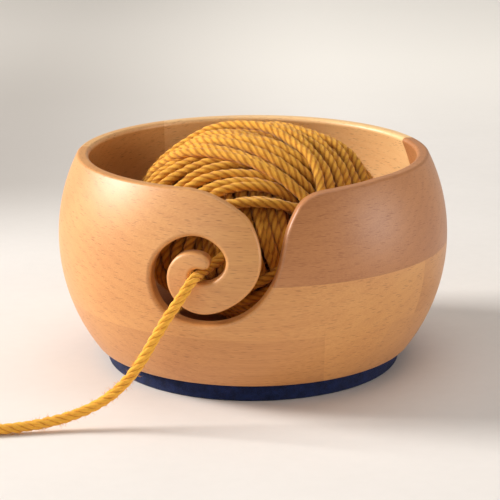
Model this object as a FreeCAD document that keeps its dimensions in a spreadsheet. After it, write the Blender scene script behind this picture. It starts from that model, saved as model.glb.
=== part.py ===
# Wooden yarn bowl, in millimetres, +Z up, standing on Z = 0 with the bowl's axis on Z.
# A turned beech bowl, glued up from boards, with a spiral yarn slot, a felt base pad and the yarn in use.
import FreeCAD, Part
import Sketcher
import math
import os

Vector = FreeCAD.Vector
doc = FreeCAD.newDocument("yarn_bowl")

# Driving dimensions. Heights of the wood are measured from its underside.
SIZES = (
    ("wood_height", 74.3, "height of the wood"),
    ("belly_diameter", 150.0, "widest outside diameter"),
    ("belly_arc_radius", 70.0, "radius of the outside arc"),
    ("belly_level", 41.9, "height of the widest place"),
    ("belly_wall", 6.5, "wall at the widest place"),
    ("rim_wall", 5.0, "wall at the rim"),
    ("edge_round", 1.4, "rounding of the rim and of the slot's edges"),
    ("foot_round", 2.5, "rounding of the lower edge of the wood"),
    ("floor_thickness", 8.0, "wood under the yarn"),
    ("cavity_corner_radius", 22.0, "inside corner between floor and wall"),
    ("curl_distance", 20.0, "from the front to the centre of the curl, along the outer face toward -X"),
    ("curl_level", 46.0, "height of the centre of the curl"),
    ("pocket_radius", 2.5, "round end of the slot, where the yarn runs"),
    ("curl_tip_radius", 2.5, "round tip of the curl"),
    ("cut_focus", 80.0, "point behind the axis that the slot's walls lead to"),
    ("base_layer", 21.2, "height of the lowest layer of boards"),
    ("middle_layer", 20.5, "height of the middle layer of boards"),
    ("board_width", 43.0, "width of a glued board"),
    ("base_front_joint", 51.0, "first joint of the base layer, in front of the axis"),
    ("base_butt_joint", 25.5, "butt joint of the front base boards, beside the axis"),
    ("wall_front_joint", 40.5, "first joint of the middle layer, in front of the axis"),
    ("left_joint", 7.0, "joint of the left block with the boards behind it"),
    ("slot_butt_joint", 3.9, "butt joint in line with the mouth of the slot"),
    ("rim_right_joint", 21.0, "joint of the top layer at the right, behind the axis"),
    ("rim_back_joint", 36.4, "butt joint of the top layer at the back, left of the axis"),
    ("pad_thickness", 6.8, "felt pad"),
    ("pad_inset", 3.6, "step from the edge of the wood in to the felt"),
    ("pad_draft", 0.3, "how much smaller the pad's radius is at the bottom"),
    ("pad_round", 0.6, "rounding of the pad's lower edge"),
    ("adhesive_thickness", 0.3, "adhesive film between wood and felt"),
    ("adhesive_margin", 3.0, "bare edge of felt round the adhesive film"),
    ("yarn_diameter", 3.8, "yarn, without its loose fibres"),
    ("ball_width", 98.8, "ball of yarn, across"),
    ("ball_height", 76.8, "ball of yarn, top to bottom"),
    ("ball_offset", 2.1, "centre of the ball beside the bowl's axis, toward +X"),
    ("ball_clearance", 0.3, "gap under the ball"),
    ("winding_gap", 0.9, "gap between the two outer layers of turns"),
    ("winding_seat", 0.35, "gap between the inner layer of turns and the core"),
    ("winding_pitch", 4.9, "distance from turn to turn"),
)
LOOPS_PER_WINDING = 12
INNER_WINDING_AXIS = (0.30, 0.35, 0.89)
OUTER_WINDING_AXIS = (0.22, -0.95, 0.20)

# Distance of the slot's two sides from the centre of the curl, in order along the slot, as
# (degrees, millimetres) on the unrolled outer face. The outer side winds in from the mouth.
SLOT_OUTER_SIDE = (
    (0, 28.4), (-45, 22.3), (-90, 19.2), (-135, 19.8), (-180, 17.7), (-225, 14.2), (-270, 12.8), (-315, 12.1),
)
SLOT_INNER_SIDE = (
    (-270, 7.2), (-225, 8.9), (-180, 11.2), (-135, 13.3), (-90, 15.0), (-45, 16.9), (0, 22.2), (22, 24.4),
    (38, 25.7),
)
# The slot's round end and the curl's tip: centres as (along, up) from the curl's centre, and the
# directions in which the outline passes them.
POCKET_MOUTH = ((10.4, 4.4), (9.7, 1.3), (7.5, -1.4), (4.3, -3.2))
POCKET_CENTRE = (0.0, -1.0)
POCKET_DIRECTIONS = (-75, -140, 165, 95)
TIP_CENTRE = (2.2, 3.9)
TIP_DIRECTIONS = (-90, -40, 5, 50)
# The mouth's lips, as (distance along the face from the curl's centre, depth below the rim).
MOUTH_RIGHT_LIP = (
    (78.3, -1.2), (70.3, 0.1), (60.3, 0.6), (51.2, 1.0), (45.6, 1.4), (42.3, 2.1), (39.6, 3.3), (37.4, 4.9),
    (35.6, 7.2), (32.4, 13.2),
)
MOUTH_LEFT_LIP = (
    (18.1, 9.3), (15.9, 7.4), (12.4, 5.1), (8.9, 3.3), (5.2, 1.8), (0.9, 0.7), (-3.6, 0.0), (-7.6, -0.8),
)
# The slot is cut from outside the widest place to well inside the wall.
CUTTER_OUTSIDE = 20.0
CUTTER_INSIDE = 34.0
SPANS_PER_WALL = 2

# Route of the loose yarn, from the ball through the end of the slot and down to the table.
STRAND_ROUTE = (
    (1.0, -51.7, 61.0), (-5.0, -53.1, 58.0), (-10.8, -56.6, 55.1), (-15.4, -62.2, 52.9),
    (-18.8, -69.1, 52.3), (-21.5, -75.6, 51.6), (-24.9, -78.3, 46.6), (-29.3, -79.2, 40.4),
    (-34.4, -79.6, 32.0), (-40.7, -80.2, 21.0), (-48.6, -81.3, 12.2), (-58.6, -83.0, 6.6),
    (-70.6, -85.4, 3.3), (-83.6, -88.0, 2.1), (-96.6, -90.2, 1.95), (-110.0, -93.9, 1.95),
    (-123.0, -99.3, 1.95),
)
ARC_SHARE = 0.45
TINY = 1e-4

sheet = doc.addObject("Spreadsheet::Sheet", "sizes")
for row, (alias, value, note) in enumerate(SIZES, start=1):
    sheet.set(f"A{row}", note)
    sheet.set(f"B{row}", str(value))
    sheet.setAlias(f"B{row}", alias)
doc.recompute()


def size(alias):
    return float(sheet.get(alias))


def bind(item, **expressions):
    for name, expression in expressions.items():
        item.setExpression(name.replace("__", "."), expression)


# Turned bowl: a half section revolved about the axis, with rounded rim and foot.
arc_centre = size("belly_diameter") / 2 - size("belly_arc_radius")
level = size("belly_level")
height = size("wood_height")
rim_rise = height - level
outer_radius = size("belly_arc_radius")
inner_radius = outer_radius - size("belly_wall")
corner = size("cavity_corner_radius")
floor = size("floor_thickness")

foot_edge = arc_centre + math.sqrt(outer_radius ** 2 - level ** 2)
rim_outside = arc_centre + math.sqrt(outer_radius ** 2 - rim_rise ** 2)
rim_inside = rim_outside - size("rim_wall")
cavity_radius = arc_centre + inner_radius
rim_run = cavity_radius - rim_inside
upper_radius = (rim_rise ** 2 + rim_run ** 2) / (2 * rim_run)
corner_level = floor + corner
corner_centre = arc_centre + math.sqrt((inner_radius - corner) ** 2 - (level - corner_level) ** 2)
corner_angle = math.atan2(corner_level - level, corner_centre - arc_centre)

bowl = doc.addObject("PartDesign::Body", "turned_bowl")
planes = {plane.Role: plane for plane in bowl.Origin.OriginFeatures}
section = bowl.newObject("Sketcher::SketchObject", "half_section")
section.AttachmentSupport = [(planes["XZ_Plane"], "")]
section.MapMode = "FlatFace"


def sketch_arc(centre, radius, start, end):
    circle = Part.Circle(Vector(centre[0], centre[1], 0), Vector(0, 0, 1), radius)
    return Part.ArcOfCircle(circle, start, end)


def sketch_line(start, end):
    return Part.LineSegment(Vector(start[0], start[1], 0), Vector(end[0], end[1], 0))


upper_centre = cavity_radius - upper_radius
OUTSIDE, RIM, UPPER, LOWER, CORNER, FLOOR, AXIS, UNDERSIDE = section.addGeometry([
    sketch_arc((arc_centre, level), outer_radius, math.atan2(-level, foot_edge - arc_centre),
               math.atan2(rim_rise, rim_outside - arc_centre)),
    sketch_line((rim_outside, height), (rim_inside, height)),
    sketch_arc((upper_centre, level), upper_radius, 0.0, math.atan2(rim_rise, rim_inside - upper_centre)),
    sketch_arc((arc_centre, level), inner_radius, corner_angle, 0.0),
    sketch_arc((corner_centre, corner_level), corner, -math.pi / 2, corner_angle),
    sketch_line((corner_centre, floor), (0, floor)),
    sketch_line((0, floor), (0, 0)),
    sketch_line((0, 0), (foot_edge, 0)),
])
ORIGIN = -1
START, END, CENTRE = 1, 2, 3
for first, first_point, second, second_point in (
        (OUTSIDE, END, RIM, START), (RIM, END, UPPER, END), (FLOOR, END, AXIS, START),
        (AXIS, END, UNDERSIDE, START), (UNDERSIDE, END, OUTSIDE, START), (AXIS, END, ORIGIN, START),
        (LOWER, CENTRE, OUTSIDE, CENTRE)):
    section.addConstraint(Sketcher.Constraint("Coincident", first, first_point, second, second_point))
for line in (RIM, FLOOR, UNDERSIDE):
    section.addConstraint(Sketcher.Constraint("Horizontal", line))
section.addConstraint(Sketcher.Constraint("Vertical", AXIS))
section.addConstraint(Sketcher.Constraint("Horizontal", LOWER, CENTRE, LOWER, END))
section.addConstraint(Sketcher.Constraint("Tangent", UPPER, START, LOWER, END))
section.addConstraint(Sketcher.Constraint("Tangent", LOWER, START, CORNER, END))
section.addConstraint(Sketcher.Constraint("Tangent", CORNER, START, FLOOR, START))
for constraint, expression in (
        (Sketcher.Constraint("DistanceX", ORIGIN, START, OUTSIDE, CENTRE, arc_centre),
         "sizes.belly_diameter / 2 - sizes.belly_arc_radius"),
        (Sketcher.Constraint("DistanceY", ORIGIN, START, OUTSIDE, CENTRE, level), "sizes.belly_level"),
        (Sketcher.Constraint("Radius", OUTSIDE, outer_radius), "sizes.belly_arc_radius"),
        (Sketcher.Constraint("Radius", LOWER, inner_radius), "sizes.belly_arc_radius - sizes.belly_wall"),
        (Sketcher.Constraint("Radius", CORNER, corner), "sizes.cavity_corner_radius"),
        (Sketcher.Constraint("DistanceY", ORIGIN, START, OUTSIDE, END, height), "sizes.wood_height"),
        (Sketcher.Constraint("DistanceX", RIM, END, RIM, START, size("rim_wall")), "sizes.rim_wall"),
        (Sketcher.Constraint("DistanceY", ORIGIN, START, FLOOR, END, floor), "sizes.floor_thickness")):
    index = section.addConstraint(constraint)
    section.setExpression(f"Constraints[{index}]", expression)
doc.recompute()

turning = bowl.newObject("PartDesign::Revolution", "turning")
turning.Profile = section
turning.ReferenceAxis = (section, ["V_Axis"])
turning.Angle = 360
doc.recompute()

# Yarn slot: one closed outline on the unrolled outer face, cut straight toward the axis.
curl_distance = size("curl_distance")
curl_level = size("curl_level")
cut_focus = size("cut_focus")
face_radius = size("belly_diameter") / 2


def around(centre, degrees, distance):
    angle = math.radians(degrees)
    return (centre[0] + distance * math.cos(angle), centre[1] + distance * math.sin(angle))


def from_curl(place):
    return (place[0], curl_level + place[1])


def slot_outline():
    curl = from_curl((0.0, 0.0))
    pocket = from_curl(POCKET_CENTRE)
    tip = from_curl(TIP_CENTRE)
    points = [(along, height - depth) for along, depth in MOUTH_RIGHT_LIP]
    points += [around(curl, degrees, distance) for degrees, distance in SLOT_OUTER_SIDE]
    points += [from_curl(place) for place in POCKET_MOUTH]
    points += [around(pocket, degrees, size("pocket_radius")) for degrees in POCKET_DIRECTIONS]
    points += [around(tip, degrees, size("curl_tip_radius")) for degrees in TIP_DIRECTIONS]
    points += [around(curl, degrees, distance) for degrees, distance in SLOT_INNER_SIDE]
    points += [(along, height - depth) for along, depth in MOUTH_LEFT_LIP]
    return points


def slot_section(distance):
    # The outline seen from the focus, on a plane at that distance in front of the axis.
    places = []
    for along, z in slot_outline():
        turn = (along - curl_distance) / face_radius
        share = (cut_focus + distance) / (cut_focus + face_radius * math.cos(turn))
        places.append(Vector(face_radius * math.sin(turn) * share, -distance, z))
    curve = Part.BSplineCurve()
    curve.interpolate(places)
    knots = curve.getKnots()
    marks = knots[:-1:SPANS_PER_WALL] + knots[-1:]
    edges = []
    for start, end in zip(marks, marks[1:]):
        span = curve.copy()
        span.segment(start, end)
        edges.append(span.toShape())
    return Part.Wire(edges + [Part.makeLine(places[-1], places[0])])


cutter = doc.addObject("Part::Loft", "slot_cutter")
cutter_sections = []
for name, distance in (("slot_section_inside", face_radius - CUTTER_INSIDE),
                       ("slot_section_outside", face_radius + CUTTER_OUTSIDE)):
    cutter_section = doc.addObject("Part::Feature", name)
    cutter_section.Shape = slot_section(distance)
    cutter_sections.append(cutter_section)
cutter.Sections = cutter_sections
cutter.Solid = True
cutter.Ruled = True
slotted = doc.addObject("Part::Cut", "slotted_bowl")
slotted.Base = bowl
slotted.Tool = cutter
doc.recompute()


def level_edges(shape, z):
    chosen = []
    for number, edge in enumerate(shape.Edges, start=1):
        box = edge.BoundBox
        if abs(box.ZMin - z) < TINY and abs(box.ZMax - z) < TINY:
            chosen.append(number)
    return chosen


def slot_edges(shape):
    # The slot's walls are the only free-form faces, so its edges are those that one such face has.
    walls = [face for face in shape.Faces if face.Surface.TypeId == "Part::GeomBSplineSurface"]
    chosen = []
    for number, edge in enumerate(shape.Edges, start=1):
        owners = [wall for wall in walls if any(edge.isSame(other) for other in wall.Edges)]
        if len(owners) == 1:
            chosen.append(number)
    return chosen


rounded = {number: size("edge_round") for number in level_edges(slotted.Shape, height)}
rounded.update({number: size("edge_round") for number in slot_edges(slotted.Shape)})
rounded.update({number: size("foot_round") for number in level_edges(slotted.Shape, 0.0)})
finished = doc.addObject("Part::Fillet", "finished_bowl")
finished.Base = slotted
finished.Edges = [(number, radius, radius) for number, radius in sorted(rounded.items())]
doc.recompute()
print("edges rounded:", len(rounded), "of", len(slotted.Shape.Edges))

# Glued boards: each is what a block of that size keeps of the finished bowl.
PAST_THE_BOWL = 5
UNDER_WOOD = "sizes.pad_thickness + sizes.adhesive_thickness"
REACH = f"(sizes.belly_diameter / 2 + {PAST_THE_BOWL})"
BELOW = f"(-{PAST_THE_BOWL})"
BASE_TOP = "sizes.base_layer"
WALL_TOP = "(sizes.base_layer + sizes.middle_layer)"
ABOVE = f"(sizes.wood_height + {PAST_THE_BOWL})"
BASE_JOINT_1 = "(-sizes.base_front_joint)"
BASE_JOINT_2 = "(sizes.board_width - sizes.base_front_joint)"
BASE_JOINT_3 = "(2 * sizes.board_width - sizes.base_front_joint)"
WALL_JOINT_1 = "(-sizes.wall_front_joint)"
WALL_JOINT_2 = "(sizes.board_width - sizes.wall_front_joint)"
WALL_JOINT_3 = "(2 * sizes.board_width - sizes.wall_front_joint)"
FRONT = LEFT = f"(-{REACH})"
BACK = RIGHT = REACH
BOARDS = (
    ("base_front_left_board", LEFT, "sizes.base_butt_joint", FRONT, BASE_JOINT_1, BELOW, BASE_TOP),
    ("base_front_right_board", "sizes.base_butt_joint", RIGHT, FRONT, BASE_JOINT_1, BELOW, BASE_TOP),
    ("base_middle_front_board", LEFT, RIGHT, BASE_JOINT_1, BASE_JOINT_2, BELOW, BASE_TOP),
    ("base_middle_back_board", LEFT, RIGHT, BASE_JOINT_2, BASE_JOINT_3, BELOW, BASE_TOP),
    ("base_back_board", LEFT, RIGHT, BASE_JOINT_3, BACK, BELOW, BASE_TOP),
    ("wall_front_right_board", "sizes.slot_butt_joint", RIGHT, FRONT, WALL_JOINT_1, BASE_TOP, WALL_TOP),
    ("wall_right_board", "sizes.slot_butt_joint", RIGHT, WALL_JOINT_1, WALL_JOINT_2, BASE_TOP, WALL_TOP),
    ("wall_back_right_board", "sizes.slot_butt_joint", RIGHT, WALL_JOINT_2, WALL_JOINT_3, BASE_TOP, WALL_TOP),
    ("wall_back_board", LEFT, RIGHT, WALL_JOINT_3, BACK, BASE_TOP, WALL_TOP),
    ("wall_back_left_board", LEFT, "0", "sizes.left_joint", WALL_JOINT_3, BASE_TOP, WALL_TOP),
    ("curl_left_block", LEFT, "sizes.slot_butt_joint", FRONT, "sizes.left_joint", BASE_TOP, ABOVE),
    ("rim_front_right_board", "sizes.slot_butt_joint", RIGHT, FRONT, "sizes.rim_right_joint", WALL_TOP,
     ABOVE),
    ("rim_back_board", "(-sizes.rim_back_joint)", RIGHT, "sizes.rim_right_joint", BACK, WALL_TOP, ABOVE),
    ("rim_back_left_board", LEFT, "(-sizes.rim_back_joint)", "sizes.left_joint", BACK, WALL_TOP, ABOVE),
)
pieces = []
for label, x_low, x_high, y_low, y_high, z_low, z_high in BOARDS:
    block = doc.addObject("Part::Box", f"block_of_{label}")
    bind(block, Length=f"{x_high} - {x_low}", Width=f"{y_high} - {y_low}", Height=f"{z_high} - ({z_low})",
         Placement__Base__x=x_low, Placement__Base__y=y_low, Placement__Base__z=z_low)
    board = doc.addObject("Part::MultiCommon", label)
    board.Shapes = [finished, block]
    bind(board, Placement__Base__z=UNDER_WOOD)
    pieces.append(board)

# Felt base pad and the adhesive film that holds it.
FOOT_RADIUS = ("(sizes.belly_diameter / 2 - sizes.belly_arc_radius"
               " + sqrt(sizes.belly_arc_radius ^ 2 - sizes.belly_level ^ 2))")
pad_cone = doc.addObject("Part::Cone", "pad_blank")
bind(pad_cone, Height="sizes.pad_thickness", Radius2=f"{FOOT_RADIUS} - sizes.pad_inset",
     Radius1=f"{FOOT_RADIUS} - sizes.pad_inset - sizes.pad_draft")
doc.recompute()
felt = doc.addObject("Part::Fillet", "felt_base_pad")
felt.Base = pad_cone
pad_round = size("pad_round")
felt.Edges = [(number, pad_round, pad_round) for number in level_edges(pad_cone.Shape, 0.0)]
film = doc.addObject("Part::Cylinder", "pad_adhesive_film")
bind(film, Radius=f"{FOOT_RADIUS} - sizes.pad_inset - sizes.adhesive_margin",
     Height="sizes.adhesive_thickness", Placement__Base__z="sizes.pad_thickness")
pieces += [felt, film]

# Ball of yarn: a plain core under two layers of turns.
yarn = size("yarn_diameter")
ball_centre = Vector(size("ball_offset"), 0, size("pad_thickness") + size("adhesive_thickness")
                     + floor + size("ball_clearance") + size("ball_height") / 2)
LAYERS_IN = "(2 * sizes.yarn_diameter + sizes.winding_gap + sizes.winding_seat)"
core = doc.addObject("Part::Ellipsoid", "yarn_ball_core")
bind(core, Radius1=f"sizes.ball_height / 2 - {LAYERS_IN}", Radius2=f"sizes.ball_width / 2 - {LAYERS_IN}",
     Placement__Base__x="sizes.ball_offset",
     Placement__Base__z=(f"{UNDER_WOOD} + sizes.floor_thickness + sizes.ball_clearance"
                         " + sizes.ball_height / 2"))
pieces.append(core)


def arc_through(start, corner_point, end):
    chord_middle = (start + end) * 0.5
    leg = corner_point - start
    half_chord = (end - start).Length / 2
    half_turn = math.acos(min(1.0, half_chord / leg.Length))
    share = math.cos(half_turn) / (1 + math.cos(half_turn))
    return Part.Arc(start, chord_middle + (corner_point - chord_middle) * share, end).toShape()


def biarc(start, start_way, end, end_way):
    across = end - start
    both = start_way + end_way
    a = 2 * (1 - start_way.dot(end_way))
    b = across.dot(both)
    leg = (-b + math.sqrt(b * b + a * across.dot(across))) / a
    first_corner = start + start_way * leg
    second_corner = end - end_way * leg
    middle = (first_corner + second_corner) * 0.5
    return [arc_through(start, first_corner, middle), arc_through(middle, second_corner, end)]


def tube(edges, diameter):
    path = Part.Wire(edges)
    begin = path.Edges[0].valueAt(path.Edges[0].FirstParameter)
    way = path.Edges[0].tangentAt(path.Edges[0].FirstParameter)
    ring = Part.Wire([Part.makeCircle(diameter / 2, begin, way)])
    shell = Part.BRepOffsetAPI.MakePipeShell(path)
    shell.add(ring)
    shell.build()
    shell.makeSolid()
    return shell.shape()


def winding_path(depth, axis):
    # Turns on the ellipsoid that lies depth inside the ball, side by side along the axis.
    wide = size("ball_width") / 2 - depth
    tall = size("ball_height") / 2 - depth
    along = Vector(*axis).normalize()
    side = along.cross(Vector(0, 0, 1)).normalize()
    upright = side.cross(along)
    step = size("winding_pitch") / min(wide, tall + (wide - tall) * (1 - along.z ** 2))
    turns = LOOPS_PER_WINDING * 2 * math.pi

    def place(turn):
        tilt = (turn / turns - 0.5) * LOOPS_PER_WINDING * step
        ring = side * math.cos(turn) + upright * math.sin(turn)
        unit = ring * math.cos(tilt) + along * math.sin(tilt)
        return Vector(unit.x * wide, unit.y * wide, unit.z * tall)

    def way(turn):
        return (place(turn + TINY) - place(turn - TINY)).normalize()

    quarter = math.pi / 2
    edges = [Part.makeLine(place(0) - way(0) * yarn, place(0))]
    for number in range(LOOPS_PER_WINDING * 4):
        start, end = number * quarter, (number + 1) * quarter
        edges += biarc(place(start), way(start), place(end), way(end))
    edges.append(Part.makeLine(place(turns), place(turns) + way(turns) * yarn))
    return edges


def points_on(edges, spacing):
    places = []
    distance = 0.0
    for edge in edges:
        count = max(2, int(edge.Length / spacing))
        first, last = edge.ParameterRange
        for number in range(count):
            places.append((distance + edge.Length * number / count,
                           edge.valueAt(first + (last - first) * number / count)))
        distance += edge.Length
    return places


def least_gap(first, second, apart):
    least = math.inf
    for distance, place in first:
        for other_distance, other in second:
            if abs(distance - other_distance) >= apart:
                least = min(least, (place - other).Length)
    return least - yarn


inner_depth = 1.5 * yarn + size("winding_gap")
paths = {}
for name, depth, axis in (("yarn_inner_winding", inner_depth, INNER_WINDING_AXIS),
                          ("yarn_outer_winding", yarn / 2, OUTER_WINDING_AXIS)):
    edges = winding_path(depth, axis)
    winding = doc.addObject("Part::Feature", name)
    winding.Shape = tube(edges, yarn)
    winding.Placement = FreeCAD.Placement(ball_centre, FreeCAD.Rotation())
    length = sum(edge.Length for edge in edges)
    paths[name] = points_on(edges, yarn / 2)
    print(name, "length", round(length, 1), "volume share",
          round(winding.Shape.Volume / (length * math.pi * yarn ** 2 / 4), 4),
          "least gap to itself", round(least_gap(paths[name], paths[name], 8 * yarn), 2))
    pieces.append(winding)
print("least gap between the two layers", round(least_gap(*paths.values(), -1.0), 2))
doc.recompute()
print("least gap between the core and the inner layer", round(min(
    core.Shape.distToShape(Part.Vertex(place + ball_centre))[0]
    for _, place in paths["yarn_inner_winding"][::3]) - yarn / 2, 2))

# Loose yarn: straight runs joined by tangent arcs.
route = [Vector(*place) for place in STRAND_ROUTE]
strand_edges = []
radii = []
at = route[0]
for before, corner_place, after in zip(route, route[1:], route[2:]):
    way_in = (corner_place - before).normalize()
    way_out = (after - corner_place).normalize()
    half_turn = way_in.getAngle(way_out) / 2
    leg = ARC_SHARE * min((corner_place - before).Length, (after - corner_place).Length)
    radii.append(leg / math.tan(half_turn))
    arc_start = corner_place - way_in * leg
    arc_end = corner_place + way_out * leg
    strand_edges.append(Part.makeLine(at, arc_start))
    strand_edges.append(arc_through(arc_start, corner_place, arc_end))
    at = arc_end
strand_edges.append(Part.makeLine(at, route[-1]))
strand = doc.addObject("Part::Feature", "yarn_strand")
strand.Shape = tube(strand_edges, yarn)
pieces.append(strand)
strand_length = sum(edge.Length for edge in strand_edges)
print("strand length", round(strand_length, 1), "radii", [round(radius, 1) for radius in radii])
print("strand volume share", round(strand.Shape.Volume / (strand_length * math.pi * yarn ** 2 / 4), 4))

doc.recompute()
for item in doc.Objects:
    if "Invalid" in item.State or "Error" in item.State:
        raise RuntimeError(f"{item.Name} failed: {item.State}")
for piece in pieces:
    if piece.Shape.isNull() or not piece.Shape.isValid() or len(piece.Shape.Solids) != 1:
        raise RuntimeError(f"{piece.Name} is not one valid solid")
os.makedirs("parts", exist_ok=True)
for piece in pieces:
    piece.Label = piece.Name
    piece.Shape.exportStep(f"parts/{piece.Label}.step")
    box = piece.Shape.BoundBox
    print(f"{piece.Label}: volume {piece.Shape.Volume:.0f}, x {box.XMin:.1f} to {box.XMax:.1f}, "
          f"y {box.YMin:.1f} to {box.YMax:.1f}, z {box.ZMin:.1f} to {box.ZMax:.1f}")
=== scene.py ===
import math

import bpy
import numpy as np
from mathutils import Euler, Matrix, Vector


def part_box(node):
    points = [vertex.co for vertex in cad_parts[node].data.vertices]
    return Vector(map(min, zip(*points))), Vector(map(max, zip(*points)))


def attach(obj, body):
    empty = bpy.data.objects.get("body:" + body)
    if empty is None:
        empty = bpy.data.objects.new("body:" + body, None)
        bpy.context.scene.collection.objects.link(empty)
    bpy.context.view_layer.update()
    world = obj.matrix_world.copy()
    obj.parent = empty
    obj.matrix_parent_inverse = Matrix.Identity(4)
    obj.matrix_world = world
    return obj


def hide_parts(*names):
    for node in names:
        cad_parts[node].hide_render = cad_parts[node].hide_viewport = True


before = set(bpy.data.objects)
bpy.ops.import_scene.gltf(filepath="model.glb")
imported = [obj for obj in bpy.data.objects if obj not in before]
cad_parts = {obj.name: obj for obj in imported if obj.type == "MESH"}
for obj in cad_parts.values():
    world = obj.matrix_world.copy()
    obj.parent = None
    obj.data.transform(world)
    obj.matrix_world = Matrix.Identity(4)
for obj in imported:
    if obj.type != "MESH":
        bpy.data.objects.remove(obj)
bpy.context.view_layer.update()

MM = 0.001
dice = np.random.default_rng(7)


def srgb(red, green, blue):
    """A colour as a screen shows it, 0 to 255, in the linear values that shaders use."""
    shares = [channel / 255 for channel in (red, green, blue)]
    return [share / 12.92 if share <= 0.04045 else ((share + 0.055) / 1.055) ** 2.4 for share in shares] + [1.0]


class Value:
    """A shader socket that takes part in expressions."""

    def __init__(self, shader, socket):
        self.shader = shader
        self.socket = socket

    def __add__(self, other):
        return self.shader.maths("ADD", self, other)

    def __sub__(self, other):
        return self.shader.maths("SUBTRACT", self, other)

    def __rsub__(self, other):
        return self.shader.maths("SUBTRACT", other, self)

    def __mul__(self, other):
        return self.shader.maths("MULTIPLY", self, other)

    def __truediv__(self, other):
        return self.shader.maths("DIVIDE", self, other)

    def __pow__(self, other):
        return self.shader.maths("POWER", self, other)

    __radd__ = __add__
    __rmul__ = __mul__

    def cosine(self):
        return self.shader.maths("COSINE", self)

    def fraction(self):
        return self.shader.maths("FRACT", self)

    def between(self, low, high):
        """0 below low, 1 above high, and a smooth step from one to the other."""
        inputs = {"Value": self, "From Min": low, "From Max": high}
        node = self.shader.node("ShaderNodeMapRange", inputs, interpolation_type="SMOOTHSTEP")
        return Value(self.shader, node.outputs["Result"])


class Shader:
    """One material's node tree."""

    def __init__(self, name):
        self.material = bpy.data.materials.new(name)
        self.material.use_nodes = True
        self.nodes = self.material.node_tree.nodes
        self.links = self.material.node_tree.links
        self.nodes.clear()

    def node(self, kind, inputs=(), **settings):
        made = self.nodes.new(kind)
        for name, value in settings.items():
            setattr(made, name, value)
        for name, value in dict(inputs).items():
            if isinstance(value, Value):
                self.links.new(value.socket, made.inputs[name])
            else:
                made.inputs[name].default_value = value
        return made

    def maths(self, operation, *values):
        made = self.node("ShaderNodeMath", enumerate(values), operation=operation)
        return Value(self, made.outputs[0])

    def vector(self, x, y, z):
        return Value(self, self.node("ShaderNodeCombineXYZ", {"X": x, "Y": y, "Z": z}).outputs[0])

    def split(self, vector):
        made = self.node("ShaderNodeSeparateXYZ", {"Vector": vector})
        return [Value(self, socket) for socket in made.outputs]

    def place(self):
        """The three coordinates of the surface point, in millimetres."""
        made = self.node("ShaderNodeTexCoord")
        return [axis * (1 / MM) for axis in self.split(Value(self, made.outputs["Object"]))]

    def noise(self, x, y, z, detail=2.0, roughness=0.5):
        inputs = {"Vector": self.vector(x, y, z), "Scale": 1.0, "Detail": detail, "Roughness": roughness}
        return Value(self, self.node("ShaderNodeTexNoise", inputs).outputs["Fac"])

    def cells(self, x, y, z):
        """Distance to the nearest of the points strewn over space, about one to a unit cube."""
        inputs = {"Vector": self.vector(x, y, z), "Scale": 1.0}
        return Value(self, self.node("ShaderNodeTexVoronoi", inputs).outputs["Distance"])

    def mix(self, share, first, second):
        made = self.node("ShaderNodeMix", {0: share, 6: first, 7: second}, data_type="RGBA")
        return Value(self, made.outputs[2])

    def bump(self, height, depth):
        """A bump whose full height is depth, in millimetres."""
        inputs = {"Height": height, "Distance": depth * MM, "Strength": 1.0}
        return Value(self, self.node("ShaderNodeBump", inputs).outputs["Normal"])

    def finish(self, **inputs):
        """The surface shader, from its inputs with spaces in their names written as underscores."""
        named = {name.replace("_", " "): value for name, value in inputs.items()}
        surface = self.node("ShaderNodeBsdfPrincipled", named)
        output = self.node("ShaderNodeOutputMaterial")
        self.links.new(surface.outputs[0], output.inputs["Surface"])
        return self.material


def make_mesh(name, points, faces, material, uv=None):
    """A smooth mesh from points in millimetres, with uv as one pair for each face corner."""
    mesh = bpy.data.meshes.new(name)
    mesh.from_pydata((np.asarray(points) * MM).tolist(), [], np.asarray(faces).tolist())
    mesh.polygons.foreach_set("use_smooth", [True] * len(mesh.polygons))
    if uv is not None:
        layer = mesh.uv_layers.new(name="UVMap")
        layer.data.foreach_set("uv", np.asarray(uv, np.float32).ravel())
    mesh.materials.append(material)
    made = bpy.data.objects.new(name, mesh)
    bpy.context.scene.collection.objects.link(made)
    return made


# Camera at the photograph's angle.
SENSOR = 36.0
FOCAL_LENGTH = 129.6
camera = bpy.data.objects.new("camera", bpy.data.cameras.new("camera"))
camera.data.sensor_width = SENSOR
camera.data.lens = FOCAL_LENGTH
looks_down, turns_left, rolls = (math.radians(angle) for angle in (15.84, 0.1, -0.23))
aim = Euler((math.pi / 2 - looks_down, 0, turns_left)).to_matrix().to_4x4() @ Matrix.Rotation(rolls, 4, "Z")
camera.matrix_world = Matrix.Translation(Vector((0.0, -674.5, 232.8)) * MM) @ aim
camera.data.clip_end = 10.0
bpy.context.scene.collection.objects.link(camera)
bpy.context.scene.camera = camera
bpy.context.scene.view_settings.view_transform = "Standard"


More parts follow.
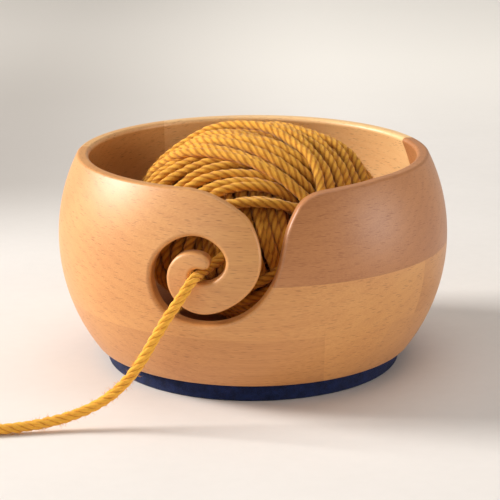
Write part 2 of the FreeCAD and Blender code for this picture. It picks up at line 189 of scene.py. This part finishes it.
# Beech: rings round a pith that runs along X, fine streaks and short dark flecks along the grain.
def beech(name, seed, pith, light, dark):
    shader = Shader(name)
    x, y, z = shader.place()
    x = x + 37.0 * seed
    drift = shader.noise(x * 0.010, y * 0.02, z * 0.02) - 0.5
    across = y + drift * 9.0 - pith[0]
    upward = z + drift * 7.0 - pith[1]
    radius = (across ** 2.0 + upward ** 2.0) ** 0.5
    growth = (radius / 4.2 + shader.noise(x * 0.02, y * 0.1, z * 0.1) * 1.6).fraction()
    late_wood = growth.between(0.35, 0.92) * (1.0 - growth.between(0.93, 1.0))
    streaks = shader.noise(x * 0.04, y * 2.4, z * 2.4, detail=4.0, roughness=0.6)
    patches = shader.noise(x * 0.02, y * 0.05, z * 0.05)
    crowded = shader.noise(x * 0.04, y * 0.2, z * 0.2).between(0.3, 0.6)
    around = shader.maths("ARCTAN2", x - 37.0 * seed, 0.0 - y) * 70.0
    reach = ((x - 37.0 * seed) ** 2.0 + y ** 2.0) ** 0.5
    near = shader.cells(around * 0.18 + seed, reach * 2.2, z * 2.2 + around * 0.1)
    fleck = (1.0 - near.between(0.10, 0.29)) * (0.4 + 0.6 * crowded)
    depth = late_wood * 0.10 + (streaks - 0.5) * 0.9 + (patches - 0.5) * 0.7 + 0.40
    colour = shader.mix(depth.between(0.0, 1.0), light, dark)
    colour = shader.mix(fleck * 0.6, colour, srgb(126, 54, 14))
    roughness = 0.42 + 0.10 * streaks + 0.15 * fleck
    relief = shader.bump(1.0 - fleck * 0.3 - streaks * 0.25, 0.04)
    return shader.finish(Base_Color=colour, Roughness=roughness, Normal=relief, Coat_Weight=0.45,
                         Coat_Roughness=0.45, Specular_IOR_Level=0.5)


# The palest tone is partly these boards' own wood and partly painted light on the inside wall and rim at the back
# right.
PALEST_WITH_PAINTED_LIGHT = (srgb(250, 206, 144), srgb(236, 180, 114))
HONEY = (srgb(238, 184, 118), srgb(216, 156, 90))
PALE = (srgb(222, 160, 92), srgb(198, 129, 67))
FAIR = (srgb(214, 151, 86), srgb(188, 121, 62))
ROSY = (srgb(194, 129, 74), srgb(166, 101, 51))
# Boards of one piece of wood share its material.
PIECES_OF_WOOD = (
    (("base_front_left_board",), (-30.0, -60.0), FAIR),
    (("base_front_right_board",), (-20.0, -45.0), PALE),
    (("base_middle_front_board",), (20.0, -70.0), FAIR),
    (("base_middle_back_board",), (10.0, 90.0), ROSY),
    (("base_back_board",), (0.0, -60.0), FAIR),
    (("curl_left_block", "wall_front_right_board"), (30.0, -90.0), PALE),
    (("wall_right_board",), (20.0, -40.0), FAIR),
    (("wall_back_right_board",), (80.0, 90.0), PALEST_WITH_PAINTED_LIGHT),
    (("wall_back_board",), (-20.0, -50.0), FAIR),
    (("wall_back_left_board",), (60.0, 100.0), FAIR),
    (("rim_front_right_board",), (-90.0, 140.0), ROSY),
    (("rim_back_board",), (20.0, 170.0), PALEST_WITH_PAINTED_LIGHT),
    (("rim_back_left_board",), (90.0, 20.0), HONEY),
)
for seed, (nodes, pith, (light, dark)) in enumerate(PIECES_OF_WOOD, start=1):
    wood = beech(f"beech_{seed}", seed, pith, light, dark)
    for node in nodes:
        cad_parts[node].data.materials.clear()
        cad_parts[node].data.materials.append(wood)


# Felt: the pad's own turned shape, a little uneven, with short fibres in its surface.
def felt_material():
    shader = Shader("navy_felt")
    x, y, z = shader.place()
    fibres = shader.noise(x * 3.0, y * 3.0, z * 3.0, detail=5.0, roughness=0.75)
    matted = shader.noise(x * 0.35, y * 0.35, z * 0.35, detail=3.0)
    colour = shader.mix((fibres * 0.7 + matted * 0.4).between(0.35, 0.85), srgb(10, 17, 44), srgb(34, 50, 100))
    relief = shader.bump(fibres + 0.6 * matted, 0.25)
    return shader.finish(Base_Color=colour, Roughness=0.95, Normal=relief, Sheen_Weight=0.08,
                         Sheen_Roughness=0.5, Specular_IOR_Level=0.2)


def turned_shape(name, outline, around, material, unevenness):
    """A lathed solid from (radius, height) stations, closed at its axis, with a slight unevenness."""
    angles = np.linspace(0, 2 * math.pi, around, endpoint=False)
    waves = sum(np.cos(order * angles + dice.uniform(0, 6)) / order for order in (3, 7, 19, 41))
    points, faces = [], []
    for radius, height in outline:
        reach = radius + unevenness * waves * min(1.0, radius / outline[1][0])
        points += np.stack([reach * np.cos(angles), reach * np.sin(angles), np.full(around, height)], 1).tolist()
    for ring in range(len(outline) - 1):
        for place in range(around):
            after = (place + 1) % around
            faces.append((ring * around + place, ring * around + after,
                          (ring + 1) * around + after, (ring + 1) * around + place))
    return make_mesh(name, points, faces, material)


pad_low, pad_high = (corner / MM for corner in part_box("felt_base_pad"))
pad_radius = pad_high.x - 0.15
pad_outline = [(0.01, 0.0), (pad_radius - 5.0, 0.0)]
for step in range(7):
    bend = math.pi / 2 * step / 6
    pad_outline.append((pad_radius - 1.2 + 0.9 * math.sin(bend), 0.9 - 0.9 * math.cos(bend)))
pad_outline += [(pad_radius - 0.2, 2.6), (pad_radius - 0.1, 4.0), (pad_radius, 5.4)]
for step in range(5):
    bend = math.pi / 2 * step / 4
    pad_outline.append((pad_radius - 0.7 + 0.7 * math.cos(bend), pad_high.z - 0.7 + 0.7 * math.sin(bend)))
pad_outline.append((0.01, pad_high.z))
pad = turned_shape("felt_pad", pad_outline, 360, felt_material(), 0.06)
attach(pad, "bowl")
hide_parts("felt_base_pad")


# Yarn: four plies twisted together, with loose fibres.
YARN = 3.8
PLIES = 4
TWIST = 14.0


def yarn_material(name, groove, ridge_top, twist_shade):
    shader = Shader(name)
    along, around, _ = shader.split(Value(shader, shader.node("ShaderNodeTexCoord").outputs["UV"]))
    x, y, z = shader.place()
    ridge = (around * (2 * math.pi * PLIES)).cosine()
    fibres = shader.noise(along * 0.8, around * 42.0, x * 0.3, detail=4.0, roughness=0.7)
    blotches = shader.noise(x * 0.25, y * 0.25, z * 0.25, detail=3.0)
    lit = ridge.between(groove, ridge_top) * twist_shade + (fibres - 0.5) * 0.8 + (blotches - 0.5) * 0.4
    lit = lit + (0.8 - twist_shade)
    colour = shader.mix(lit.between(0.0, 1.0), srgb(176, 98, 20), srgb(252, 186, 68))
    # Painted shade: where the yarn lies deeper than the ball's outside, in the gaps between strands, it is painted
    # dark brown.
    out = [(axis - middle) / reach for axis, middle, reach in zip((x, y, z), ball_centre, BALL_AXES)]
    painted_gap_shade = 1.0 - (out[0] ** 2.0 + out[1] ** 2.0 + out[2] ** 2.0).between(0.76, 0.92)
    colour = shader.mix(painted_gap_shade * 0.8, colour, srgb(120, 58, 12))
    relief = shader.bump(ridge * 0.5 + fibres * 1.2, 0.25)
    return shader.finish(Base_Color=colour, Roughness=0.85, Normal=relief, Sheen_Weight=0.18,
                         Sheen_Roughness=0.4, Specular_IOR_Level=0.25)


def fibre_material():
    shader = Shader("yarn_fibres")
    return shader.finish(Base_Color=srgb(240, 176, 78), Roughness=0.8, Specular_IOR_Level=0.2)


def frames_along(points, closed, upward=None):
    """Unit tangents, and unit side and up directions with up near the given directions."""
    if closed:
        ahead = np.roll(points, -1, 0) - np.roll(points, 1, 0)
    else:
        ahead = np.gradient(points, axis=0)
    ahead /= np.linalg.norm(ahead, axis=1)[:, None]
    if upward is None:
        upward = np.tile([0.0, 0.0, 1.0], (len(points), 1))
        for number in range(1, len(points)):
            upward[number] = upward[number - 1] - ahead[number] * (upward[number - 1] @ ahead[number])
            upward[number] /= np.linalg.norm(upward[number])
    side = np.cross(ahead, upward)
    side /= np.linalg.norm(side, axis=1)[:, None]
    return ahead, side, np.cross(side, ahead)


SECTION_SIDES = 12
RIDGE, FLANK = 1.0, 0.90


def yarn_tube(points, closed, upward=None):
    """Points, quads and uv of a twisted lobed tube along a line of points about a millimetre apart."""
    ahead, side, up = frames_along(points, closed, upward)
    steps = np.linalg.norm(np.diff(points, axis=0, append=points[:1]), axis=1)
    distance = np.concatenate([[0.0], np.cumsum(steps)[:-1]])
    length = distance[-1] + (steps[-1] if closed else 0.0)
    turns = max(1, round(length / TWIST)) if closed else length / TWIST
    corner = np.arange(SECTION_SIDES)
    reach = np.where(corner % (SECTION_SIDES // PLIES) == 0, RIDGE, FLANK) * YARN / 2
    swell = 1 + 0.05 * np.sin(distance * 0.9 + dice.uniform(0, 6)) + dice.normal(0, 0.012, len(points))
    angle = 2 * math.pi * (corner[None] / SECTION_SIDES - distance[:, None] / length * turns)
    reach = reach[None] * swell[:, None]
    ring = (points[:, None] + side[:, None] * (reach * np.cos(angle))[..., None]
            + up[:, None] * (reach * np.sin(angle))[..., None])
    count = len(points)
    first = np.arange(count if closed else count - 1)
    second = (first + 1) % count
    near, far = corner, (corner + 1) % SECTION_SIDES
    quads = np.stack([first[:, None] * SECTION_SIDES + near, first[:, None] * SECTION_SIDES + far,
                      second[:, None] * SECTION_SIDES + far, second[:, None] * SECTION_SIDES + near], -1)
    start = np.broadcast_to(distance[first][:, None], (len(first), SECTION_SIDES))
    end = start + steps[first][:, None]
    low = np.broadcast_to(corner / SECTION_SIDES, start.shape)
    high = low + 1 / SECTION_SIDES
    uv = np.stack([np.stack(pair, -1) for pair in ((start, low), (start, high), (end, high), (end, low))], 2)
    return ring.reshape(-1, 3), quads.reshape(-1, 4), uv.reshape(-1, 2)


def joined(parts):
    """Several (points, faces, uv) as one."""
    points, faces, uv, shift = [], [], [], 0
    for part_points, part_faces, part_uv in parts:
        points.append(part_points)
        faces.append(part_faces + shift)
        uv.append(part_uv)
        shift += len(part_points)
    return np.concatenate(points), np.concatenate(faces), np.concatenate(uv)


def loose_fibres(name, places, outward, along, count, length, material):
    """Short curved hairs that leave the yarn's surface, as thin three-sided tapering tubes."""
    chosen = dice.integers(0, len(places), count)
    lean = dice.normal(0, 1, (count, 3))
    heading = outward[chosen] * dice.uniform(0.3, 1.0, (count, 1)) + along[chosen] * dice.normal(0, 0.9, (count, 1))
    heading = heading + lean * 0.25
    heading /= np.linalg.norm(heading, axis=1)[:, None]
    curl = np.cross(heading, lean)
    curl /= np.linalg.norm(curl, axis=1)[:, None]
    side = np.cross(heading, curl)
    span = length * dice.uniform(0.35, 1.0, (count, 1))
    stations = 5
    points, faces = [], []
    for station in range(stations):
        share = station / (stations - 1)
        centre = places[chosen] + heading * span * (share - 0.35 * share ** 2) + curl * span * 0.45 * share ** 2
        thickness = 0.05 * (1 - 0.7 * share)
        for corner in range(3):
            turn = 2 * math.pi * corner / 3
            points.append(centre + curl * math.cos(turn) * thickness + side * math.sin(turn) * thickness)
    points = np.stack(points, 1).reshape(-1, 3)
    start = np.arange(count)[:, None] * stations * 3
    for station in range(stations - 1):
        for corner in range(3):
            near, far = station * 3 + corner, station * 3 + (corner + 1) % 3
            faces.append(np.concatenate([start + near, start + far, start + far + 3, start + near + 3], 1))
    return make_mesh(name, points, np.concatenate(faces), material)


# Ball of yarn: loops laid one after the other, each over whatever lies there already.
core_low, core_high = (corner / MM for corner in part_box("yarn_ball_core"))
ball_centre = np.array((core_low + core_high) / 2)
winding_low, winding_high = (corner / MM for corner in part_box("yarn_outer_winding"))
BALL_AXES = np.array([(winding_high.x - winding_low.x) / 2] * 2 + [(winding_high.z - winding_low.z) / 2])
STEP = 5.0
# Groups of loops from the inside out: axis of the first loop, axis of the last, angle of the first
# loop from the middle, step to the next, count, and how much longer than wide. Angles are in degrees.
GROUPS = (
    ((0.10, 0.15, 1.00), (0.00, 0.10, 1.00), -72.0, STEP, 29, 0.0),
    ((1.00, 0.30, 0.10), (1.00, 0.10, -0.10), -70.0, STEP, 28, 0.0),
    ((-0.10, -0.80, 0.60), (0.20, -0.90, 0.45), -68.0, STEP, 20, 0.0),
    ((0.96, -0.15, 0.23), (0.98, 0.00, 0.22), 24.0, -STEP, 9, 0.0),
    ((-0.30, -0.94, -0.17), (-0.03, -0.96, -0.28), 17.6, 4.6, 8, 7.0),
    ((-0.04, -0.93, -0.38), (-0.04, -0.93, -0.38), 39.5, STEP, 1, 0.0),
    ((-0.55, -0.80, -0.21), (-0.55, -0.80, -0.21), -15.0, 5.3, 8, 0.0),
    ((-0.62, -0.62, 0.42), (-0.56, -0.68, 0.46), -11.5, 8.0, 6, 0.0),
)
CONTACT = 0.8


def loop_directions(axis, angle, stretch):
    """Directions round one loop, on the sphere that the ball becomes when its axes are scaled to 1."""
    axis = axis / np.linalg.norm(axis)
    first = np.cross(axis, [0.02, 0.01, 1.0])
    first /= np.linalg.norm(first)
    second = np.cross(axis, first)
    circumference = 2 * math.pi * BALL_AXES.mean() * math.cos(angle)
    count = max(24, int(circumference / 1.05))
    turn = np.linspace(0, 2 * math.pi, count, endpoint=False)
    wander = np.sin(2 * turn + dice.uniform(0, 6)) + np.sin(3 * turn + dice.uniform(0, 6))
    tilt = angle + stretch * np.cos(2 * turn) + math.radians(0.7) * wander
    ring = first * np.cos(turn)[:, None] + second * np.sin(turn)[:, None]
    return axis * np.sin(tilt)[:, None] + ring * np.cos(tilt)[:, None]


def smooth_round(values, reach):
    """A closed list of values, smoothed by a bell of the given reach in steps."""
    window = np.exp(-0.5 * (np.arange(-3 * reach, 3 * reach + 1) / reach) ** 2)
    window /= window.sum()
    wide = np.concatenate([values[-3 * reach:], values, values[:3 * reach]])
    return np.convolve(wide, window, "valid")


loops = []
laid_places = np.zeros((0, 3))
laid_heights = np.zeros(0)
for first_axis, last_axis, first_angle, step, count, stretch in GROUPS:
    group_places, group_heights = [], []
    for number in range(count):
        share = number / max(1, count - 1)
        axis = np.array(first_axis) * (1 - share) + np.array(last_axis) * share
        axis = axis / np.linalg.norm(axis) + dice.normal(0, 0.012, 3)
        angle = math.radians(first_angle + step * number + dice.normal(0, 0.35))
        directions = loop_directions(axis, angle, math.radians(stretch))
        surface = directions * (BALL_AXES - 10.0)
        height = np.zeros(len(surface))
        if len(laid_places):
            gap = np.linalg.norm(surface[:, None] - laid_places[None], axis=2)
            rise = np.sqrt(np.clip(YARN ** 2 - gap ** 2, 0, None)) * CONTACT
            height = np.where(gap < YARN, laid_heights[None] + rise, 0.0).max(1)
        calm = smooth_round(height, 5)
        height = smooth_round(np.maximum(calm, height - 0.35 * YARN), 2)
        group_places.append(surface)
        group_heights.append(height)
        loops.append((directions, height))
    laid_places = np.concatenate([laid_places] + group_places)
    laid_heights = np.concatenate([laid_heights] + group_heights)

# The ball's outside: the smoothed build-up at points spread evenly over it.
marks = 1400
level = 1 - 2 * (np.arange(marks) + 0.5) / marks
spin = math.pi * (1 + 5 ** 0.5) * np.arange(marks)
flat = np.sqrt(1 - level ** 2)
mark_places = np.stack([flat * np.cos(spin), flat * np.sin(spin), level], 1) * (BALL_AXES - 10.0)
gap = np.linalg.norm(mark_places[:, None] - laid_places[None], axis=2)
mark_heights = np.where(gap < 4.5, laid_heights[None], 0.0).max(1)


def outside_at(places, reach):
    weight = np.exp(-0.5 * (np.linalg.norm(places[:, None] - mark_places[None], axis=2) / reach) ** 2)
    return weight @ mark_heights / weight.sum(1)


mark_heights = outside_at(mark_places, 4.0)
print("ball build-up", round(float(mark_heights.min()), 2), round(float(mark_heights.max()), 2))
parts, hair_places, hair_outward, hair_along = [], [], [], []
for directions, height in loops:
    radial = directions * BALL_AXES
    outward = radial / np.linalg.norm(radial, axis=1)[:, None]
    depth = outside_at(directions * (BALL_AXES - 10.0), 3.0) - height
    line = ball_centre + radial - outward * (YARN / 2 + depth)[:, None]
    ahead, side, up = frames_along(line, True, outward)
    parts.append(yarn_tube(line, True, outward))
    for turn in (-0.9, 0.0, 0.9):
        lean = up * math.cos(turn) + side * math.sin(turn)
        shown = depth < 1.2 * YARN
        hair_places.append((line + lean * YARN * 0.46)[shown])
        hair_outward.append(lean[shown])
        hair_along.append(ahead[shown])
yarn_wool = yarn_material("mustard_yarn", -1.0, 0.5, 0.45)
hair_wool = fibre_material()
ball = make_mesh("yarn_ball_turns", *joined(parts)[:2], yarn_wool, joined(parts)[2])
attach(ball, "yarn_ball")
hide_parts("yarn_ball_core", "yarn_inner_winding", "yarn_outer_winding")
ball_hair = loose_fibres("yarn_ball_fibres", np.concatenate(hair_places), np.concatenate(hair_outward),
                         np.concatenate(hair_along), 18000, 3.0, hair_wool)
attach(ball_hair, "yarn_ball")

# Loose yarn, on the route of its solid.
STRAND_ROUTE = (
    (1.0, -51.7, 61.0), (-5.0, -53.1, 58.0), (-10.8, -56.6, 55.1), (-15.4, -62.2, 52.9), (-18.8, -69.1, 52.3),
    (-21.5, -75.6, 51.6), (-24.9, -78.3, 46.6), (-29.3, -79.2, 40.4), (-34.4, -79.6, 32.0), (-40.7, -80.2, 21.0),
    (-48.6, -81.3, 12.2), (-58.6, -83.0, 6.6), (-70.6, -85.4, 3.3), (-83.6, -88.0, 2.1), (-96.6, -90.2, 1.95),
    (-110.0, -93.9, 1.95), (-123.0, -99.3, 1.95),
)


def smooth_line(name, route):
    """Points along the NURBS spline that has the route's points as its control points, in millimetres."""
    curve = bpy.data.curves.new(name, "CURVE")
    curve.dimensions = "3D"
    spline = curve.splines.new("NURBS")
    spline.points.add(len(route) - 1)
    for point, place in zip(spline.points, route):
        point.co = (*(Vector(place) * MM), 1.0)
    spline.order_u = 3
    spline.use_endpoint_u = True
    spline.resolution_u = 24
    holder = bpy.data.objects.new(name, curve)
    bpy.context.scene.collection.objects.link(holder)
    bpy.context.view_layer.update()
    line = bpy.data.meshes.new_from_object(holder)
    places = np.array([vertex.co for vertex in line.vertices]) / MM
    bpy.data.objects.remove(holder)
    return places


def even_steps(points, spacing):
    """The same line with points the given distance apart."""
    distance = np.concatenate([[0.0], np.cumsum(np.linalg.norm(np.diff(points, axis=0), axis=1))])
    marks = np.linspace(0, distance[-1], int(distance[-1] / spacing) + 1)
    return np.stack([np.interp(marks, distance, points[:, axis]) for axis in range(3)], 1), distance[-1]


strand_line, strand_length = even_steps(smooth_line("strand_route", STRAND_ROUTE), 0.5)
print("strand length", round(float(strand_length), 1))
PLY = 0.46
ply_parts = []
strand_ahead, strand_side, strand_up = frames_along(strand_line, False)
strand_distance = np.linspace(0, strand_length, len(strand_line))
PLY_SIDES = 10
for ply in range(PLIES):
    turn = 2 * math.pi * (ply / PLIES - strand_distance / TWIST)
    away = strand_side * np.cos(turn)[:, None] + strand_up * np.sin(turn)[:, None]
    centre = strand_line + away * (YARN / 2 * (1 - PLY))
    ahead, side, up = frames_along(centre, False, away)
    corner = 2 * math.pi * np.arange(PLY_SIDES) / PLY_SIDES
    plump = YARN / 2 * PLY * (1 + 0.06 * np.sin(strand_distance * 1.1 + ply) + dice.normal(0, 0.02, len(centre)))
    ring = (centre[:, None] + side[:, None] * (plump[:, None] * np.cos(corner))[..., None]
            + up[:, None] * (plump[:, None] * np.sin(corner))[..., None])
    first = np.arange(len(centre) - 1)[:, None] * PLY_SIDES
    near, far = np.arange(PLY_SIDES), (np.arange(PLY_SIDES) + 1) % PLY_SIDES
    quads = np.stack([first + near, first + far, first + PLY_SIDES + far, first + PLY_SIDES + near], -1)
    start = np.broadcast_to(strand_distance[:-1, None], (len(centre) - 1, PLY_SIDES))
    end = np.broadcast_to(strand_distance[1:, None], start.shape)
    low = np.broadcast_to((near / PLY_SIDES - 0.25) / PLIES, start.shape)
    high = low + 1 / PLY_SIDES / PLIES
    uv = np.stack([np.stack(pair, -1) for pair in ((start, low), (start, high), (end, high), (end, low))], 2)
    ply_parts.append((ring.reshape(-1, 3), quads.reshape(-1, 4), uv.reshape(-1, 2)))
strand_points, strand_faces, strand_uv = joined(ply_parts)
loose_wool = yarn_material("loose_yarn", -0.5, 0.8, 0.6)
strand = make_mesh("yarn_loose_end", strand_points, strand_faces, loose_wool, strand_uv)
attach(strand, "bowl")
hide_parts("yarn_strand")
lean = dice.uniform(0, 2 * math.pi, len(strand_line))
strand_outward = strand_side * np.cos(lean)[:, None] + strand_up * np.sin(lean)[:, None]
strand_hair = loose_fibres("yarn_loose_end_fibres", strand_line + strand_outward * YARN * 0.46, strand_outward,
                           strand_ahead, 1600, 2.8, hair_wool)
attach(strand_hair, "bowl")


# Table and backdrop: one round sheet of pale plaster, flat far out round the bowl and then curved up
# on all sides, so that every view is free. Far behind the bowl it is painted paler as painted light, and at the
# left it is painted darker as painted shade.
def plaster():
    shader = Shader("pale_plaster")
    x, y, z = shader.place()
    clouds = shader.noise(x * 0.006, y * 0.006, z * 0.006, detail=4.0, roughness=0.6)
    grain = shader.noise(x * 0.2, y * 0.2, z * 0.2, detail=3.0)
    colour = shader.mix(clouds * 0.8 + grain * 0.2, srgb(222, 216, 209), srgb(242, 236, 230))
    # Painted light: far behind the bowl the sheet is painted paler.
    colour = shader.mix(y.between(300.0, 700.0), colour, srgb(253, 247, 238))
    # Painted shade: behind the bowl at the left the sheet is painted darker.
    left = 1.0 - x.between(-170.0, 70.0)
    painted_shade_left = y.between(120.0, 300.0) * left * (0.67 - 0.17 * y.between(500.0, 850.0))
    colour = shader.mix(painted_shade_left, colour, srgb(150, 142, 134))
    return shader.finish(Base_Color=colour, Roughness=0.8, Specular_IOR_Level=0.2)


FLAT_RADIUS = 1900.0
COVE = 650.0
profile = [(0.01, 0.0), (FLAT_RADIUS, 0.0)]
for bend in np.linspace(0, math.pi / 2, 13)[1:]:
    profile.append((FLAT_RADIUS + COVE * math.sin(bend), COVE * (1 - math.cos(bend))))
backdrop = turned_shape("table_and_backdrop", profile, 96, plaster(), 0.0)


# Light: a large soft source at the left, a weaker one at the right and a pale surround.
def softbox(name, place, width, height, watts, colour):
    light = bpy.data.lights.new(name, "AREA")
    light.shape = "RECTANGLE"
    light.size = width * MM
    light.size_y = height * MM
    light.energy = watts
    light.color = colour
    made = bpy.data.objects.new(name, light)
    made.location = Vector(place) * MM
    made.rotation_euler = (Vector((0, 0, 40)) - Vector(place)).to_track_quat("-Z", "Y").to_euler()
    bpy.context.scene.collection.objects.link(made)


softbox("window_left", (-1923, 270, 1033), 720, 720, 64.0, (1.0, 0.985, 0.965))
softbox("fill_right", (860, -230, 200), 280, 280, 2.4, (1.0, 0.98, 0.95))
softbox("fill_front", (-560, -880, 420), 600, 600, 1.8, (1.0, 0.99, 0.98))
softbox("fill_top", (150, 150, 1200), 900, 900, 3.6, (1.0, 1.0, 1.0))
world = bpy.data.worlds.new("surround")
world.use_nodes = True
world.node_tree.nodes["Background"].inputs["Color"].default_value = (1.0, 1.0, 1.0, 1.0)
world.node_tree.nodes["Background"].inputs["Strength"].default_value = 0.22
bpy.context.scene.world = world
